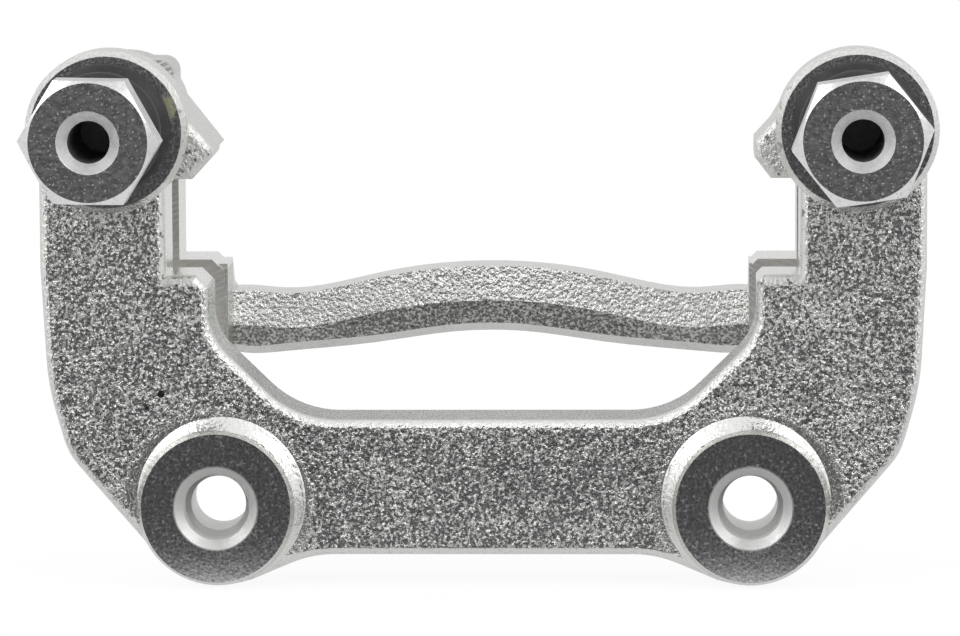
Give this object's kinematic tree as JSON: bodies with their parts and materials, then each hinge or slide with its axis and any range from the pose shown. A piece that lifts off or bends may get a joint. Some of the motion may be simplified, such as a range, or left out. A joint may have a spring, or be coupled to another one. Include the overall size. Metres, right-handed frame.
{
  "type": "brake caliper bracket",
  "caption": "Cast floating caliper carrier with a mounting bar, two arms, an outboard tie bar, and sliding hex-headed guide pins in rubber boots.",
  "frame": {"origin": "midway between the two mounting holes, halfway along their threads", "axes": "+X from the left arm to the right arm, +Y from the knuckle side to the outboard side along the guide pins, +Z from the mounting bar up to the guide pins"},
  "size_m": [0.1444, 0.08, 0.0857],
  "materials": {
    "cast_iron": "rough zinc-plated casting",
    "pin_steel": "plated machined steel",
    "boot_rubber": "satin"
  },
  "bodies": {
    "carrier": {"bracket": "cast_iron", "boot_left": "boot_rubber", "boot_right": "boot_rubber"},
    "pin_left": {"guide_pin_left": "pin_steel"},
    "pin_right": {"guide_pin_right": "pin_steel"}
  },
  "joints": [
    {"name": "pin_left_slide", "type": "slide", "parent": "carrier", "child": "pin_left", "axis": [0, 1, 0], "range_m": [0, 0.012], "deforming": ["boot_left"]},
    {"name": "pin_right_slide", "type": "slide", "parent": "carrier", "child": "pin_right", "axis": [0, 1, 0], "range_m": [0, 0.012], "deforming": ["boot_right"]}
  ]
}
